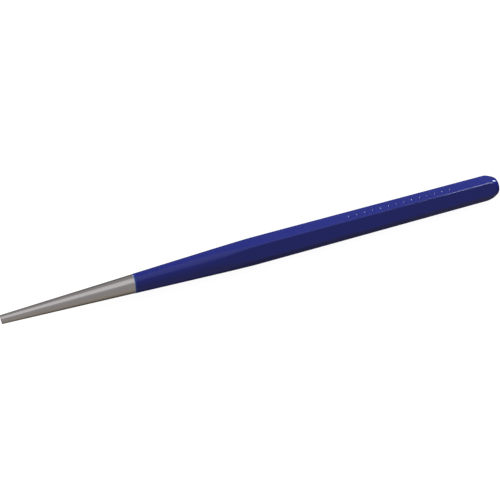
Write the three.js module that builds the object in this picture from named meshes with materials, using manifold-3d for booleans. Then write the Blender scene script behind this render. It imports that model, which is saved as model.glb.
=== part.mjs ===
// A long taper punch (drift punch): one forged steel bar with an enamel coat over its shank and head.
//
// It lies on one of its six flats as it would on a bench. The bar's axis runs along X, the flat tip
// points to -X and the struck head to +X, and +Z is up. The origin is under the middle of the
// punch, on the surface it lies on. All sizes are in millimetres.
//
// The bar is a round-cornered hexagon trimmed by a turned outline: a straight cone from the tip runs
// out into the six flats, and a crowned chamfer with a rounded rim ends the bar in the struck face.
// The coat is the same form grown by its own thickness, less the bar.

import * as THREE from 'three';
import { mergeVertices } from 'three/addons/utils/BufferGeometryUtils.js';
import Module from 'manifold-3d';

const wasm = await Module();
wasm.setup();

// ---- driving dimensions: the bar -----------------------------------------------------------

const barLength = 260;          // tip face to struck face, bare steel
const acrossFlats = 12;         // hexagon stock
const cornerRadius = 0.9;       // rounding of the stock's six edges

const tipDiameter = 4.1;        // flat working end
const tipChamfer = 0.18;        // broken edge round the tip face
const taperLength = 124;        // tip face to where the cone would meet the hexagon's sharp corners

const headLength = 5.9;         // struck face to where the crown would meet the sharp corners
const headDiameter = 9.5;       // where the crown would meet the struck face
const headCrownRadius = 20;     // lengthways curve of the crown
const headRimRadius = 0.3;      // rounding between the crown and the struck face

// ---- driving dimensions: the coat ----------------------------------------------------------

const coatThickness = 0.1;
const coatStart = 60.8;         // tip face to the coat's edge, measured on the axis
const coatSkew = 5.5;           // degrees that the coat's edge leans off square
const coatSkewRoll = 37;        // degrees from straight up of the side where the edge leans back

// ---- how finely curves are cut up ----------------------------------------------------------

const turnedSides = 108;
const cornerSteps = 7;
const crownSteps = 8;
const rimSteps = 6;

// ---- worked out from the above -------------------------------------------------------------

const sharpCornerRadius = acrossFlats / Math.sqrt(3);
const tipRadius = tipDiameter / 2;
const taperPerMm = (sharpCornerRadius - tipRadius) / taperLength;
const taperAngle = Math.atan(taperPerMm);
const overallLength = barLength + coatThickness;
const tipX = -overallLength / 2;
const axisHeight = acrossFlats / 2 + coatThickness;
const trimOvershoot = 5;        // how far trimming solids reach past what they trim

// ---- materials -----------------------------------------------------------------------------

const groundSteel = new THREE.MeshStandardMaterial({ color: 0x9a9694, roughness: 0.38, metalness: 1 });
const blueEnamel = new THREE.MeshStandardMaterial({ color: 0x2b2f86, roughness: 0.2, metalness: 0 });

// ---- solids --------------------------------------------------------------------------------

function toSolid(geometry) {
  const bare = geometry.index ? geometry.toNonIndexed() : geometry.clone();
  bare.deleteAttribute('normal');
  bare.deleteAttribute('uv');
  const merged = mergeVertices(bare, 1e-5);
  const mesh = new wasm.Mesh({
    numProp: 3,
    vertProperties: new Float32Array(merged.attributes.position.array),
    triVerts: new Uint32Array(merged.index.array),
  });
  return new wasm.Manifold(mesh);
}

function toGeometry(solid) {
  const mesh = solid.getMesh();
  const geometry = new THREE.BufferGeometry();
  geometry.setAttribute('position', new THREE.BufferAttribute(mesh.vertProperties, 3));
  geometry.setIndex(new THREE.BufferAttribute(mesh.triVerts, 1));
  geometry.computeVertexNormals();
  return geometry;
}

// The hexagon with rounded corners, lying on a flat: drawn in the plane across the bar.
function hexagonShape(halfAcrossFlats, radius) {
  const shape = new THREE.Shape();
  const centreDistance = (halfAcrossFlats - radius) / Math.cos(Math.PI / 6);
  for (let corner = 0; corner < 6; corner += 1) {
    const angle = (corner + 0.5) * Math.PI / 3;
    const centreX = centreDistance * Math.cos(angle);
    const centreY = centreDistance * Math.sin(angle);
    const from = angle - Math.PI / 6;
    const to = angle + Math.PI / 6;
    if (corner === 0) {
      shape.moveTo(centreX + radius * Math.cos(from), centreY + radius * Math.sin(from));
    }
    shape.absarc(centreX, centreY, radius, from, to, false);
  }
  shape.closePath();
  return shape;
}

// The hexagon stock, longer than the bar at both ends, with its axis along X.
function stockSolid(growth) {
  const shape = hexagonShape(acrossFlats / 2 + growth, cornerRadius + growth);
  const geometry = new THREE.ExtrudeGeometry(shape, {
    depth: barLength + 2 * trimOvershoot,
    bevelEnabled: false,
    curveSegments: cornerSteps,
  });
  geometry.rotateY(Math.PI / 2);
  geometry.translate(-trimOvershoot, 0, 0);
  return toSolid(geometry);
}

// The turned outline that trims the stock, as distance from the axis against distance from the tip.
function turnedOutline(growth) {
  const coneGrowth = growth / Math.cos(taperAngle);
  const coneRadiusAt = (distance) => tipRadius + coneGrowth + distance * taperPerMm;
  const fullRadius = sharpCornerRadius + growth;
  const fullDistance = (fullRadius - tipRadius - coneGrowth) / taperPerMm;
  const points = [new THREE.Vector2(0, 0)];
  points.push(new THREE.Vector2(coneRadiusAt(0) - tipChamfer, 0));
  points.push(new THREE.Vector2(coneRadiusAt(tipChamfer), tipChamfer));
  points.push(new THREE.Vector2(fullRadius, fullDistance));

  // The crown is an arc through its two stated places, and the rim an arc inside it that touches
  // it at one end and the struck face at the other. Each grows round its own centre.
  const crownRise = sharpCornerRadius - headDiameter / 2;
  const chord = Math.hypot(headLength, crownRise);
  const chordTilt = Math.atan2(crownRise, headLength);
  const endTilt = chordTilt + Math.asin(chord / (2 * headCrownRadius));
  const crownCentreDistance = barLength - headCrownRadius * Math.sin(endTilt);
  const crownCentreRadius = headDiameter / 2 - headCrownRadius * Math.cos(endTilt);
  const rimCentreDistance = barLength - headRimRadius;
  const centreToCentre = headCrownRadius - headRimRadius;
  const rimTilt = Math.asin((rimCentreDistance - crownCentreDistance) / centreToCentre);
  const rimCentreRadius = crownCentreRadius + centreToCentre * Math.cos(rimTilt);
  const crownRadius = headCrownRadius + growth;
  const crownTilt = Math.acos((fullRadius - crownCentreRadius) / crownRadius);
  const addArc = (centreDistance, centreRadius, arcRadius, fromTilt, toTilt, steps) => {
    for (let step = 0; step <= steps; step += 1) {
      const tilt = THREE.MathUtils.lerp(fromTilt, toTilt, step / steps);
      const radius = centreRadius + arcRadius * Math.cos(tilt);
      const distance = centreDistance + arcRadius * Math.sin(tilt);
      points.push(new THREE.Vector2(radius, distance));
    }
  };
  addArc(crownCentreDistance, crownCentreRadius, crownRadius, crownTilt, rimTilt, crownSteps);
  addArc(rimCentreDistance, rimCentreRadius, headRimRadius + growth, rimTilt, Math.PI / 2, rimSteps);
  points.push(new THREE.Vector2(0, barLength + growth));
  return points;
}

function punchForm(growth) {
  const turned = new THREE.LatheGeometry(turnedOutline(growth), turnedSides);
  turned.rotateZ(-Math.PI / 2);
  return toSolid(turned).intersect(stockSolid(growth));
}

// Everything on the tip's side of the plane in which the coat ends.
function bareSide() {
  const length = coatStart + acrossFlats + trimOvershoot;
  const geometry = new THREE.BoxGeometry(length, 2 * length, 2 * length);
  geometry.translate(-length / 2, 0, 0);
  geometry.rotateY(THREE.MathUtils.degToRad(coatSkew));
  geometry.rotateX(-THREE.MathUtils.degToRad(coatSkewRoll));
  geometry.translate(coatStart, 0, 0);
  return toSolid(geometry);
}

// ---- the two pieces ------------------------------------------------------------------------

const bar = punchForm(0);
const coat = punchForm(coatThickness).subtract(bareSide()).subtract(bar);

function addPiece(group, name, solid, material) {
  const piece = new THREE.Mesh(toGeometry(solid), material);
  piece.name = name;
  piece.position.set(tipX, 0, axisHeight);
  group.add(piece);
}

const punch = new THREE.Group();
addPiece(punch, 'steel_bar', bar, groundSteel);
addPiece(punch, 'enamel_coat', coat, blueEnamel);

export default punch;
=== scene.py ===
"""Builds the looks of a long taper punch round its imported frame: the bar, its coat and a studio."""

import math
import bpy
from bpy.props import FloatProperty, FloatVectorProperty, IntProperty, PointerProperty
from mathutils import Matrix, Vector


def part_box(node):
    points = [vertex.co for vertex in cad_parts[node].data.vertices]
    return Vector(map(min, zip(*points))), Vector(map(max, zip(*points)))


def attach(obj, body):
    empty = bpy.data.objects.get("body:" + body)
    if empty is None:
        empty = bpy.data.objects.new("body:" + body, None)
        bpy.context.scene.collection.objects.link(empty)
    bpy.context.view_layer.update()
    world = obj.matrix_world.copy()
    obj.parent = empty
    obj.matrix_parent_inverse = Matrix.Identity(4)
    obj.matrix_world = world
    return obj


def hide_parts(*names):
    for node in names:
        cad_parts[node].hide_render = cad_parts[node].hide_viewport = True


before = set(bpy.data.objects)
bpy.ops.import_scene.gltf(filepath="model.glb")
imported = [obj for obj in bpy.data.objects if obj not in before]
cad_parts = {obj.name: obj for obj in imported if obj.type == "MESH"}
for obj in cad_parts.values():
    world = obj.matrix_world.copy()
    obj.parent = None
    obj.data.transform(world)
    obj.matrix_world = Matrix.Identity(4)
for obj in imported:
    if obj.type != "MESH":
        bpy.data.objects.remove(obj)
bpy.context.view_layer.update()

bl_info = {
    "name": "Taper Punch",
    "version": (1, 0, 0),
    "blender": (4, 5, 0),
    "location": "3D View > Sidebar > Punch",
    "description": "Models a hexagonal taper punch with an enamel coat, and a studio to show it in",
    "category": "Object",
}

MM = 0.001
BODY = "root"
BAR_NODE = "steel_bar"
COAT_NODE = "enamel_coat"

bar_low, bar_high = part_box(BAR_NODE)
coat_low, coat_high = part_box(COAT_NODE)

# How finely the form is cut up.
CORNER_STRIPS = 12
FLAT_STRIPS = 18
RING_SPACING = 2 * MM
RIM_RINGS = 5
HEAD_RINGS = 34
HEAD_RINGS_REACH = 6.8 * MM
LIP_RINGS = 8
DOT_SIDES = 28
CREASE_ANGLE = math.radians(25)

# The least share of the coat's thickness, which its very edge has.
THINNEST_SHARE = 0.04

# The studio, in metres and radians.
TABLE_RADIUS = 1.6
TABLE_CURVE_STEPS = 10
TABLE_CURVE_RISE = 0.12
TABLE_CURVE_SPREAD = 0.07
ROOM_LIGHT_HEIGHT = math.radians(50)
OVERHEAD_FROM = math.radians(58)
OVERHEAD_TO = math.radians(110)
OVERHEAD_REACH = 0.7
OVERHEAD_LENGTH = 2.4
OVERHEAD_X = 0.3
COOL_TINT = (0.75, 0.85, 1.1)
SENSOR_WIDTH = 36

SMOOTHLY = {"interpolation_type": "SMOOTHSTEP"}


# ---- what a user would change ---------------------------------------------------------------


class PunchSizes(bpy.types.PropertyGroup):
    """Sizes of the bar and its coat."""

    bar_length: FloatProperty(
        name="Bar length", description="Tip face to struck face, bare steel",
        default=bar_high.x - bar_low.x, unit="LENGTH", precision=5)
    across_flats: FloatProperty(
        name="Across flats", description="Width of the hexagonal stock between two flats",
        default=bar_high.z - bar_low.z, unit="LENGTH", precision=5)
    corner_radius: FloatProperty(
        name="Corner radius", description="Rounding of the stock's six long edges",
        default=0.9 * MM, unit="LENGTH", precision=5)
    tip_diameter: FloatProperty(
        name="Tip diameter", description="Flat working end of the nose",
        default=4.1 * MM, unit="LENGTH", precision=5)
    tip_edge: FloatProperty(
        name="Tip edge", description="Width of the broken edge round the tip face",
        default=0.18 * MM, unit="LENGTH", precision=5)
    taper_length: FloatProperty(
        name="Taper length", description="Tip face to where the cone would reach the sharp corners",
        default=124 * MM, unit="LENGTH", precision=5)
    head_length: FloatProperty(
        name="Head length", description="Struck face to where the crown would meet the sharp corners",
        default=5.9 * MM, unit="LENGTH", precision=5)
    head_diameter: FloatProperty(
        name="Head diameter", description="Where the head's crown would meet the struck face",
        default=9.5 * MM, unit="LENGTH", precision=5)
    head_crown: FloatProperty(
        name="Head crown", description="Radius of the crown's lengthways curve",
        default=20 * MM, unit="LENGTH", precision=5)
    head_rim: FloatProperty(
        name="Head rim", description="Rounding between the crown and the struck face",
        default=0.3 * MM, unit="LENGTH", precision=5)
    head_softness: FloatProperty(
        name="Head softness", description="How softly the flats and corners turn into the head's crown",
        default=0.08 * MM, unit="LENGTH", precision=5)
    run_out: FloatProperty(
        name="Run-out softness", description="How softly the ground cone runs out into the flats",
        default=0.09 * MM, unit="LENGTH", precision=5)
    coat_thickness: FloatProperty(
        name="Coat thickness", description="Thickness of the enamel",
        default=bar_low.z - coat_low.z, unit="LENGTH", precision=5)
    lip_width: FloatProperty(
        name="Lip width", description="How far back from the coat's edge its thickness is rounded off",
        default=0.5 * MM, unit="LENGTH", precision=5)
    coat_start: FloatProperty(
        name="Coat start", description="Tip face to the coat's edge, on the axis",
        default=60.8 * MM, unit="LENGTH", precision=5)
    coat_skew: FloatProperty(
        name="Coat skew", description="How far the coat's edge leans off square",
        default=math.radians(5.5), subtype="ANGLE")
    coat_skew_roll: FloatProperty(
        name="Coat skew roll", description="Turn from straight up of the side where the edge leans back",
        default=math.radians(37), subtype="ANGLE")


class PunchMarks(bpy.types.PropertyGroup):
    """The row of plain punched dots along the top flat."""

    count: IntProperty(name="Dots", description="How many dots", default=14, min=1)
    pitch: FloatProperty(
        name="Pitch", description="Distance from dot to dot",
        default=4.5 * MM, unit="LENGTH", precision=5)
    first: FloatProperty(
        name="First dot", description="Tip face to the first dot",
        default=172.8 * MM, unit="LENGTH", precision=5)
    aside: FloatProperty(
        name="Row aside", description="How far the row is off the middle of the flat, towards +Y",
        default=-0.95 * MM, unit="LENGTH", precision=5)
    radius: FloatProperty(
        name="Dot radius", description="Radius of a dot at the surface",
        default=0.8 * MM, unit="LENGTH", precision=5)
    floor_radius: FloatProperty(
        name="Floor radius", description="Radius of a dot's flat floor",
        default=0.45 * MM, unit="LENGTH", precision=5)
    slope: FloatProperty(
        name="Dot slope", description="Angle between a dot's wall and the flat",
        default=math.radians(39.5), subtype="ANGLE")


class PunchLooks(bpy.types.PropertyGroup):
    """Finishes and the studio."""

    enamel: FloatVectorProperty(
        name="Enamel", description="Blue of the coat, as sRGB",
        subtype="COLOR_GAMMA", default=(0x10 / 255, 0x23 / 255, 0x8B / 255), min=0, max=1)
    steel: FloatVectorProperty(
        name="Steel", description="Grey of the ground steel, as sRGB",
        subtype="COLOR_GAMMA", default=(0xE0 / 255, 0xDF / 255, 0xDB / 255), min=0, max=1)
    view_azimuth: FloatProperty(
        name="View azimuth", description="Turn of the camera round the punch; 0 looks along +Y",
        default=math.radians(-23.14), subtype="ANGLE")
    view_elevation: FloatProperty(
        name="View elevation", description="Height of the camera over the horizon",
        default=math.radians(39.3), subtype="ANGLE")
    view_distance: FloatProperty(
        name="View distance", description="Camera to the middle of the punch, along the view",
        default=436.9 * MM, unit="LENGTH")
    view_right: FloatProperty(
        name="Frame right", description="How far right of the frame's centre the punch's middle is",
        default=9.6 * MM, unit="LENGTH", precision=5)
    view_up: FloatProperty(
        name="Frame up", description="How far above the frame's centre the punch's middle is",
        default=1.59 * MM, unit="LENGTH", precision=5)
    lens: FloatProperty(
        name="Lens", description="Focal length in millimetres on a 36 mm sensor",
        default=64.8, subtype="DISTANCE_CAMERA")


# ---- small helpers --------------------------------------------------------------------------


def linear(srgb):
    """A colour as Blender's shaders want it, from 0 to 1 sRGB values or a hex string."""
    if isinstance(srgb, str):
        srgb = [int(srgb[i:i + 2], 16) / 255 for i in (1, 3, 5)]
    flat = [c / 12.92 if c <= 0.04045 else ((c + 0.055) / 1.055) ** 2.4 for c in srgb]
    return (*flat, 1.0)


def node(tree, kind, settings=(), **links):
    """Adds a shader node: settings are its attributes, links are values or sockets for its inputs."""
    made = tree.nodes.new(kind)
    for name, value in dict(settings).items():
        setattr(made, name, value)
    for name, value in links.items():
        key = int(name[1:]) if name[0] == "i" and name[1:].isdigit() else name.replace("_", " ")
        if isinstance(value, bpy.types.NodeSocket):
            tree.links.new(value, made.inputs[key])
        else:
            made.inputs[key].default_value = value
    return made


def new_material(name):
    """An empty node material, and its tree."""
    material = bpy.data.materials.new(name)
    material.use_nodes = True
    material.node_tree.nodes.clear()
    return material, material.node_tree


def select_only(obj):
    """Leaves one object selected and active."""
    bpy.ops.object.select_all(action="DESELECT")
    obj.select_set(True)
    bpy.context.view_layer.objects.active = obj


def select_parts(obj, kind, test):
    """In object mode, selects just the vertices, edges or faces that pass the test."""
    mesh = obj.data
    for group in (mesh.vertices, mesh.edges, mesh.polygons):
        group.foreach_set("select", [False] * len(group))
    for part in getattr(mesh, kind):
        part.select = test(part)
    modes = {"vertices": (True, False, False), "edges": (False, True, False),
             "polygons": (False, False, True)}
    bpy.context.tool_settings.mesh_select_mode = modes[kind]


def edit(*steps):
    """Runs the given steps in edit mode."""
    bpy.ops.object.mode_set(mode="EDIT")
    for step in steps:
        step()
    bpy.ops.object.mode_set(mode="OBJECT")


def cut(obj, point, normal, **options):
    """Cuts a mesh all round with a plane."""
    select_parts(obj, "vertices", lambda v: True)
    edit(lambda: bpy.ops.mesh.bisect(plane_co=point, plane_no=normal, **options))


def apply_modifier(obj, kind, **settings):
    """Adds one modifier, sets it and applies it."""
    select_only(obj)
    modifier = obj.modifiers.new(kind.title(), kind)
    for name, value in settings.items():
        setattr(modifier, name, value)
    bpy.ops.object.modifier_apply(modifier=modifier.name)


def finish_piece(obj, name, replaced, material):
    """Names a piece, puts its place into its mesh, gives it its finish and ties it to the frame."""
    select_only(obj)
    bpy.ops.object.transform_apply(location=True, rotation=True, scale=True)
    obj.name = name
    obj.data.name = name
    obj.data.materials.clear()
    obj.data.materials.append(material)
    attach(obj, BODY)
    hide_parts(replaced)


# ---- the form that the bar and the coat share -------------------------------------------------


def edge_plane(sizes):
    """A point and the normal of the plane in which the coat ends."""
    lean = Vector((0, math.sin(sizes.coat_skew_roll), math.cos(sizes.coat_skew_roll)))
    normal = Vector((math.cos(sizes.coat_skew), 0, 0)) - lean * math.sin(sizes.coat_skew)
    point = Vector((bar_low.x + sizes.coat_start, 0, (bar_low.z + bar_high.z) / 2))
    return point, normal.normalized()


def head_arcs(sizes):
    """Centres of the crown's and the rim's arcs, as distances before the struck face and out from the
    axis, and the tilt off the axis where they touch."""
    rise = sizes.across_flats / math.sqrt(3) - sizes.head_diameter / 2
    chord = math.hypot(sizes.head_length, rise)
    tilt = math.atan2(rise, sizes.head_length) + math.asin(chord / (2 * sizes.head_crown))
    crown = (sizes.head_crown * math.sin(tilt),
             sizes.head_diameter / 2 - sizes.head_crown * math.cos(tilt))
    apart = sizes.head_crown - sizes.head_rim
    touch = math.asin((crown[0] - sizes.head_rim) / apart)
    return crown, (sizes.head_rim, crown[1] + apart * math.cos(touch)), touch


def turned_radius(sizes, along):
    """How far from the axis the turned cone and the head's crown and rim let the steel reach."""
    tip = sizes.tip_diameter / 2
    cone = tip + along * (sizes.across_flats / math.sqrt(3) - tip) / sizes.taper_length
    if along < sizes.tip_edge:
        cone -= sizes.tip_edge - along
    from_end = max(0.0, sizes.bar_length - along)
    crown, rim, touch = head_arcs(sizes)
    centre, radius = crown, sizes.head_crown
    if from_end < sizes.head_rim * (1 - math.sin(touch)):
        centre, radius = rim, sizes.head_rim
    before = centre[0] - from_end
    if before < 0:
        return cone, centre[1] + radius - before
    return cone, centre[1] + math.sqrt(max(0.0, radius ** 2 - before ** 2))


def softly_least(a, b, softness):
    """The smaller of two values, with a soft change from one to the other."""
    return (a + b - math.sqrt((a - b) ** 2 + softness ** 2)) / 2


def stock_with_rings(sizes):
    """The rounded hexagon stock, lying on a flat, with strips across each flat and rings along it."""
    centre = (bar_low + bar_high) / 2
    bpy.ops.object.select_all(action="DESELECT")
    bpy.ops.mesh.primitive_cylinder_add(
        vertices=6, radius=sizes.across_flats / math.sqrt(3), depth=sizes.bar_length,
        location=centre, rotation=(0, math.pi / 2, 0))
    stock = bpy.context.active_object
    bpy.ops.object.transform_apply(location=True, rotation=True, scale=True)
    points = stock.data.vertices

    def runs_along(e):
        return abs(points[e.vertices[0]].co.x - points[e.vertices[1]].co.x) > sizes.bar_length / 2

    select_parts(stock, "edges", runs_along)
    corner_offset = sizes.corner_radius * math.tan(math.pi / 6)
    edit(lambda: bpy.ops.mesh.bevel(offset=corner_offset, segments=CORNER_STRIPS, affect="EDGES"))

    flat_width = sizes.across_flats / math.sqrt(3) - 2 * corner_offset

    def crosses_a_flat(e):
        length = (points[e.vertices[0]].co - points[e.vertices[1]].co).length
        return abs(length - flat_width) < flat_width / 10

    points = stock.data.vertices
    select_parts(stock, "edges", crosses_a_flat)
    edit(lambda: bpy.ops.mesh.subdivide(number_cuts=FLAT_STRIPS - 1))
    points = stock.data.vertices
    select_parts(stock, "edges", runs_along)
    rings = round(sizes.bar_length / RING_SPACING)
    edit(lambda: bpy.ops.mesh.subdivide(number_cuts=rings - 1))

    stations = [bar_low.x + sizes.tip_edge * share for share in (0.5, 1.0)]
    touch = head_arcs(sizes)[2]
    for step in range(RIM_RINGS):
        angle = (math.pi / 2 - touch) * (1 - step / RIM_RINGS)
        stations.append(bar_high.x - sizes.head_rim * (1 - math.cos(angle)))
    for step in range(HEAD_RINGS):
        stations.append(bar_high.x - sizes.head_rim - step / HEAD_RINGS * HEAD_RINGS_REACH)
    for x in stations:
        cut(stock, (x, 0, 0), (1, 0, 0))
    return stock


def turn_down(stock, sizes):
    """Grinds the stock to the turned outline, and leaves a soft run-out at the flats."""
    axis_height = (bar_low.z + bar_high.z) / 2
    for v in stock.data.vertices:
        y, z = v.co.y, v.co.z - axis_height
        stock_radius = math.hypot(y, z)
        cone, head = turned_radius(sizes, v.co.x - bar_low.x)
        radius = softly_least(stock_radius, cone, sizes.run_out)
        radius = softly_least(radius, head, sizes.head_softness)
        v.co.y = y * radius / stock_radius
        v.co.z = axis_height + z * radius / stock_radius
    stock.data.update()


def punch_dots(stock, marks):
    """Takes a row of plain flat-bottomed dots out of the top flat with a conical punch."""
    bpy.ops.object.select_all(action="DESELECT")
    top = 2 * marks.radius
    depth = (top - marks.floor_radius) * math.tan(marks.slope)
    centre = bar_high.z + marks.radius * math.tan(marks.slope) - depth / 2
    bpy.ops.mesh.primitive_cone_add(
        vertices=DOT_SIDES, radius1=marks.floor_radius, radius2=top, depth=depth,
        location=(bar_low.x + marks.first, marks.aside, centre))
    cones = bpy.context.active_object
    bpy.ops.object.transform_apply(location=True, rotation=True, scale=True)
    apply_modifier(cones, "ARRAY", count=marks.count, use_relative_offset=False,
                   use_constant_offset=True, constant_offset_displace=(marks.pitch, 0, 0))
    apply_modifier(stock, "BOOLEAN", operation="DIFFERENCE", object=cones, solver="EXACT")
    bpy.data.objects.remove(cones)


def bar_form(sizes, marks):
    """The finished shape of the bare bar."""
    stock = stock_with_rings(sizes)
    turn_down(stock, sizes)
    punch_dots(stock, marks)
    return stock


def round_the_lip(skin, sizes):
    """Cuts rings by the coat's edge, and gives vertices their share of the thickness there, so that
    the edge is a quarter ellipse."""
    point, normal = edge_plane(sizes)
    for step in range(1, LIP_RINGS + 1):
        reach = sizes.lip_width * (1 - math.cos(step / LIP_RINGS * math.pi / 2))
        cut(skin, point + normal * reach, normal)
    group = skin.vertex_groups.new(name="thickness")
    for v in skin.data.vertices:
        inward = min(1.0, max(0.0, (v.co - point).dot(normal) / sizes.lip_width))
        group.add([v.index], max(THINNEST_SHARE, math.sqrt(1 - (1 - inward) ** 2)), "REPLACE")


def smooth(obj):
    """Smooth shading, with sharp creases kept."""
    select_only(obj)
    bpy.ops.object.shade_smooth_by_angle(angle=CREASE_ANGLE)


# ---- finishes -----------------------------------------------------------------------------------


def ground_tool_steel(looks):
    """Tool steel turned and ground round its axis: it gives long soft bands of light along the nose."""
    material, tree = new_material("ground_tool_steel")
    place = node(tree, "ShaderNodeTexCoord").outputs["Object"]
    # Rings left by the wheel are about 0.05 mm apart, too fine to show, so they are drawn at 0.4 mm.
    stretched = node(tree, "ShaderNodeMapping", Vector=place, Scale=(1 / (0.4 * MM), 40, 40))
    rings = node(tree, "ShaderNodeTexNoise", Vector=stretched.outputs["Vector"], Scale=1.0, Detail=3.0)
    # Slow changes of tone, as handling and heat leave on bare steel, about 14 mm across.
    patches = node(tree, "ShaderNodeTexNoise", Vector=place, Scale=1 / (14 * MM), Detail=2.0)
    tone = node(tree, "ShaderNodeMixRGB", {"blend_type": "MIX"}, Fac=patches.outputs["Fac"],
                Color1=linear([c * 0.96 for c in looks.steel]), Color2=linear(looks.steel))
    streaked = node(tree, "ShaderNodeMapRange", Value=rings.outputs["Fac"], To_Min=0.22, To_Max=0.28)
    bump = node(tree, "ShaderNodeBump", Strength=0.1, Distance=0.01 * MM, Height=rings.outputs["Fac"])
    around = node(tree, "ShaderNodeTangent", {"direction_type": "RADIAL", "axis": "X"})
    shader = node(tree, "ShaderNodeBsdfPrincipled", Base_Color=tone.outputs["Color"], Metallic=1.0,
                  Roughness=streaked.outputs["Result"], Anisotropic=0.6, Anisotropic_Rotation=0.25,
                  Normal=bump.outputs["Normal"], Tangent=around.outputs["Tangent"])
    node(tree, "ShaderNodeOutputMaterial", Surface=shader.outputs["BSDF"])
    return material


def blue_enamel(looks, sizes):
    """Stoving enamel on steel: deep blue under a smooth gloss, a little uneven, thinner at its edge, with a
    painted highlight along that edge.
    """
    material, tree = new_material("blue_stoving_enamel")
    place = node(tree, "ShaderNodeTexCoord").outputs["Object"]
    point, normal = edge_plane(sizes)
    offset = node(tree, "ShaderNodeVectorMath", {"operation": "SUBTRACT"}, i0=place, i1=point)
    inward = node(tree, "ShaderNodeVectorMath", {"operation": "DOT_PRODUCT"},
                  i0=offset.outputs["Vector"], i1=normal)
    # The last millimetre of the coat is thin, so it looks a clearer, lighter blue.
    thin = node(tree, "ShaderNodeMapRange", SMOOTHLY,
                Value=inward.outputs["Value"], From_Min=0.35 * MM, From_Max=1.3 * MM,
                To_Min=1.0, To_Max=0.0)
    clouds = node(tree, "ShaderNodeTexNoise", Vector=place, Scale=1 / (18 * MM), Detail=2.0)
    body = node(tree, "ShaderNodeMixRGB", Fac=clouds.outputs["Fac"],
                Color1=linear([c * 0.95 for c in looks.enamel]),
                Color2=linear([c * 1.04 for c in looks.enamel]))
    tone = node(tree, "ShaderNodeMixRGB", Fac=thin.outputs["Result"],
                Color1=body.outputs["Color"], Color2=linear("#1A4298"))
    # Right at the edge a pale fringe is painted in: a painted highlight where the coat's rounded lip
    # catches the light.
    bare = node(tree, "ShaderNodeMapRange", SMOOTHLY,
                Value=inward.outputs["Value"], From_Min=0.12 * MM, From_Max=0.4 * MM,
                To_Min=0.95, To_Max=0.0)
    # Mixes the painted highlight's pale colour into the blue near the edge.
    lip_with_painted_highlight = node(tree, "ShaderNodeMixRGB", Fac=bare.outputs["Result"],
                 Color1=tone.outputs["Color"], Color2=linear("#B0C6EE"))
    # Orange peel: low waves about 1.5 mm apart that make the gloss waver.
    peel = node(tree, "ShaderNodeTexNoise", Vector=place, Scale=1 / (1.5 * MM), Detail=1.0)
    bump = node(tree, "ShaderNodeBump", Strength=0.3, Distance=0.01 * MM, Height=peel.outputs["Fac"])
    shader = node(tree, "ShaderNodeBsdfPrincipled", Base_Color=lip_with_painted_highlight.outputs["Color"], Roughness=0.14,
                  IOR=1.55, Normal=bump.outputs["Normal"])
    node(tree, "ShaderNodeOutputMaterial", Surface=shader.outputs["BSDF"])
    return material


def light_table():
    """Matt white plastic, lit from below as a product table is, so only a faint shadow is left on it."""
    material, tree = new_material("white_light_table")
    matt = node(tree, "ShaderNodeBsdfDiffuse", Color=linear("#707070"))
    lit = node(tree, "ShaderNodeEmission", Color=(1, 1, 1, 1), Strength=0.96)
    both = node(tree, "ShaderNodeAddShader", i0=matt.outputs["BSDF"], i1=lit.outputs["Emission"])
    node(tree, "ShaderNodeOutputMaterial", Surface=both.outputs["Shader"])
    return material


# ---- operators ----------------------------------------------------------------------------------


class PUNCH_OT_bar(bpy.types.Operator):
    """Models the ground steel bar"""

    bl_idname = "punch.bar"
    bl_label = "Steel Bar"

    def execute(self, context):
        scene = context.scene
        bar = bar_form(scene.punch_sizes, scene.punch_marks)
        smooth(bar)
        finish = ground_tool_steel(scene.punch_looks)
        finish_piece(bar, "punch_bar", BAR_NODE, finish)
        return {"FINISHED"}


class PUNCH_OT_coat(bpy.types.Operator):
    """Models the enamel coat over the shank, the head and the rear of the cone"""

    bl_idname = "punch.coat"
    bl_label = "Enamel Coat"

    def execute(self, context):
        scene = context.scene
        sizes = scene.punch_sizes
        bar = bpy.data.objects["punch_bar"]
        skin = bar.copy()
        skin.data = bar.data.copy()
        skin.parent = None
        # The bar's own tags on its copy would make the coat stand in for the bar.
        for key in list(skin.keys()):
            del skin[key]
        scene.collection.objects.link(skin)
        select_only(skin)
        point, normal = edge_plane(sizes)
        cut(skin, point, normal, clear_inner=True)
        round_the_lip(skin, sizes)
        apply_modifier(skin, "SOLIDIFY", thickness=sizes.coat_thickness, offset=1,
                       vertex_group="thickness", use_even_offset=True, use_quality_normals=True)
        smooth(skin)
        finish = blue_enamel(scene.punch_looks, sizes)
        finish_piece(skin, "punch_coat", COAT_NODE, finish)
        return {"FINISHED"}


def soft_light(name, centre, aim, width, depth, radiance, glossy, diffuse, tint=(1, 1, 1)):
    """A rectangular soft box: radiance in watts per square metre and steradian."""
    data = bpy.data.lights.new(name, "AREA")
    data.shape = "RECTANGLE"
    data.size = width
    data.size_y = depth
    data.energy = radiance * math.pi * width * depth
    data.color = tint
    lamp = bpy.data.objects.new(name, data)
    lamp.location = centre
    lamp.rotation_euler = (Vector(aim) - Vector(centre)).to_track_quat("-Z", "Y").to_euler()
    lamp.visible_camera = False
    lamp.visible_glossy = glossy
    lamp.visible_diffuse = diffuse
    bpy.context.scene.collection.objects.link(lamp)
    return lamp


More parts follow.
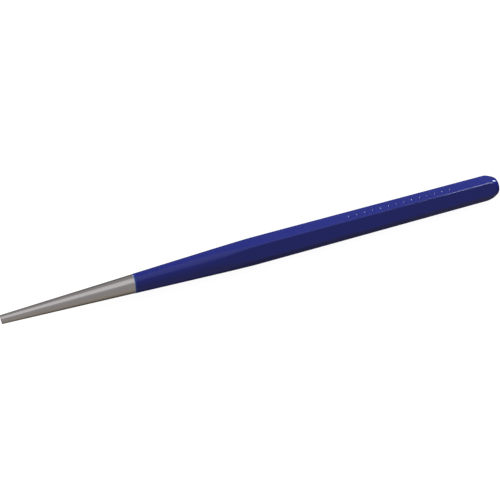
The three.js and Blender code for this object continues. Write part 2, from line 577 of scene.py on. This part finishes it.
class PUNCH_OT_studio(bpy.types.Operator):
    """Sets up the pale floor, the soft light and the camera"""

    bl_idname = "punch.studio"
    bl_label = "Studio"

    def execute(self, context):
        scene = context.scene
        looks = scene.punch_looks
        scene.view_settings.view_transform = "Standard"
        self.make_floor()
        self.make_world(scene)
        self.make_lights()
        self.make_camera(scene, looks)
        return {"FINISHED"}

    def make_floor(self):
        bpy.ops.object.select_all(action="DESELECT")
        bpy.ops.mesh.primitive_circle_add(vertices=96, radius=TABLE_RADIUS, fill_type="NGON")
        floor = bpy.context.active_object
        floor.name = "studio_floor"
        select_parts(floor, "edges", lambda e: True)
        for step in range(TABLE_CURVE_STEPS):
            angle = (step + 0.5) / TABLE_CURVE_STEPS * math.pi / 2
            rise = TABLE_CURVE_RISE * math.sin(angle)
            spread = 1 + TABLE_CURVE_SPREAD * math.cos(angle)
            edit(lambda: bpy.ops.mesh.extrude_edges_move(TRANSFORM_OT_translate={"value": (0, 0, rise)}),
                 lambda: bpy.ops.transform.resize(value=(spread, spread, 1)))
        floor.data.materials.append(light_table())
        floor.visible_glossy = False
        floor.visible_diffuse = False
        floor.visible_shadow = False

    def make_world(self, scene):
        """A room that is lit from above and from the near side, and dark behind and at both ends."""
        world = bpy.data.worlds.new("studio_room")
        world.use_nodes = True
        tree = world.node_tree
        tree.nodes.clear()
        direction = node(tree, "ShaderNodeTexCoord").outputs["Generated"]
        towards = (0, -math.cos(ROOM_LIGHT_HEIGHT), math.sin(ROOM_LIGHT_HEIGHT))
        facing = node(tree, "ShaderNodeVectorMath", {"operation": "DOT_PRODUCT"},
                      i0=direction, i1=towards)
        level = node(tree, "ShaderNodeMapRange", SMOOTHLY,
                     Value=facing.outputs["Value"], From_Min=-0.95, From_Max=0.0,
                     To_Min=0.045, To_Max=0.305)
        parts = node(tree, "ShaderNodeSeparateXYZ", Vector=direction)
        along = node(tree, "ShaderNodeMath", {"operation": "ABSOLUTE"}, i0=parts.outputs["X"])
        ends = node(tree, "ShaderNodeMapRange", SMOOTHLY,
                    Value=along.outputs["Value"], From_Min=0.65, From_Max=0.95, To_Min=1.0, To_Max=0.35)
        room = node(tree, "ShaderNodeMath", {"operation": "MULTIPLY"},
                    i0=level.outputs["Result"], i1=ends.outputs["Result"])
        # A pale card low behind the head end, which gives the underside of the head a grey sheen.
        facing_card = node(tree, "ShaderNodeVectorMath", {"operation": "DOT_PRODUCT"},
                           i0=direction, i1=(0.6, 0.55, -0.58))
        card = node(tree, "ShaderNodeMapRange", SMOOTHLY,
                    Value=facing_card.outputs["Value"], From_Min=0.92, From_Max=0.99,
                    To_Min=0.0, To_Max=0.16)
        strength = node(tree, "ShaderNodeMath", {"operation": "ADD"},
                        i0=room.outputs["Value"], i1=card.outputs["Result"])
        low = node(tree, "ShaderNodeMapRange", Value=parts.outputs["Z"],
                   From_Min=-0.8, From_Max=-0.05, To_Min=1.0, To_Max=0.0)
        tone = node(tree, "ShaderNodeMixRGB", Fac=low.outputs["Result"],
                    Color1=(1.0, 0.92, 0.95, 1), Color2=(1.0, 0.85, 0.73, 1))
        sky = node(tree, "ShaderNodeBackground", Color=tone.outputs["Color"],
                   Strength=strength.outputs["Value"])
        node(tree, "ShaderNodeOutputWorld", Surface=sky.outputs["Background"])
        scene.world = world

    def make_lights(self):
        # The key gives the enamel and the table their tone, and doesn't show in the gloss.
        soft_light("key_box", (0.5, 0.37, 0.8), (0.1, 0, 0), 0.9, 0.9, 3.75, glossy=False, diffuse=True)
        # A long box overhead, which the nose and the top flat mirror as a soft band.
        middle = (OVERHEAD_FROM + OVERHEAD_TO) / 2
        depth = 2 * OVERHEAD_REACH * math.tan((OVERHEAD_TO - OVERHEAD_FROM) / 2)
        centre = (OVERHEAD_X, -OVERHEAD_REACH * math.cos(middle), OVERHEAD_REACH * math.sin(middle))
        soft_light("overhead_box", centre, (OVERHEAD_X, 0, 0), OVERHEAD_LENGTH, depth, 0.325,
                   glossy=True, diffuse=False, tint=(1.0, 0.98, 1.05))
        # A strip beyond the head, which draws a thin line of light along the near corner.
        soft_light("end_box", (1.04, -0.346, 0.777), (1.04, 0, 0), 0.88, 0.15, 20.0,
                   glossy=True, diffuse=False, tint=COOL_TINT)
        # A small lamp, which is the bright point where that corner meets the crown.
        soft_light("corner_lamp", (1.213, 0.276, 0.438), (0.13, 0, 0), 0.17, 0.17, 18.0,
                   glossy=True, diffuse=False, tint=COOL_TINT)
        # A low lamp off the tip, which lifts the steel.
        soft_light("nose_lamp", (-0.6, -0.3, 0.5), (-0.07, 0, 0), 0.3, 0.3, 4.0, glossy=True, diffuse=False)

    def make_camera(self, scene, looks):
        azimuth, elevation = looks.view_azimuth, looks.view_elevation
        back = Vector((math.sin(azimuth) * math.cos(elevation),
                       -math.cos(azimuth) * math.cos(elevation), math.sin(elevation)))
        right = Vector((math.cos(azimuth), math.sin(azimuth), 0))
        up = back.cross(right)
        middle = Vector(((coat_high.x + bar_low.x) / 2, 0, (bar_low.z + bar_high.z) / 2))
        data = bpy.data.cameras.new("photographer")
        data.lens = looks.lens
        data.sensor_width = SENSOR_WIDTH
        camera = bpy.data.objects.new("photographer", data)
        aside = right * looks.view_right + up * looks.view_up
        camera.location = middle + back * looks.view_distance - aside
        camera.rotation_euler = (-back).to_track_quat("-Z", "Y").to_euler()
        scene.collection.objects.link(camera)
        scene.camera = camera


class PUNCH_PT_panel(bpy.types.Panel):
    """Lists the punch's pieces and the studio"""

    bl_idname = "PUNCH_PT_panel"
    bl_label = "Taper Punch"
    bl_space_type = "VIEW_3D"
    bl_region_type = "UI"
    bl_category = "Punch"

    def draw(self, context):
        for operator in (PUNCH_OT_bar, PUNCH_OT_coat, PUNCH_OT_studio):
            self.layout.operator(operator.bl_idname)


CLASSES = (PunchSizes, PunchMarks, PunchLooks, PUNCH_OT_bar, PUNCH_OT_coat, PUNCH_OT_studio,
           PUNCH_PT_panel)


def register():
    for cls in CLASSES:
        bpy.utils.register_class(cls)
    bpy.types.Scene.punch_sizes = PointerProperty(type=PunchSizes)
    bpy.types.Scene.punch_marks = PointerProperty(type=PunchMarks)
    bpy.types.Scene.punch_looks = PointerProperty(type=PunchLooks)


def unregister():
    del bpy.types.Scene.punch_looks
    del bpy.types.Scene.punch_marks
    del bpy.types.Scene.punch_sizes
    for cls in reversed(CLASSES):
        bpy.utils.unregister_class(cls)


def main():
    register()
    bpy.ops.punch.bar()
    bpy.ops.punch.coat()
    bpy.ops.punch.studio()


if __name__ == "__main__":
    main()
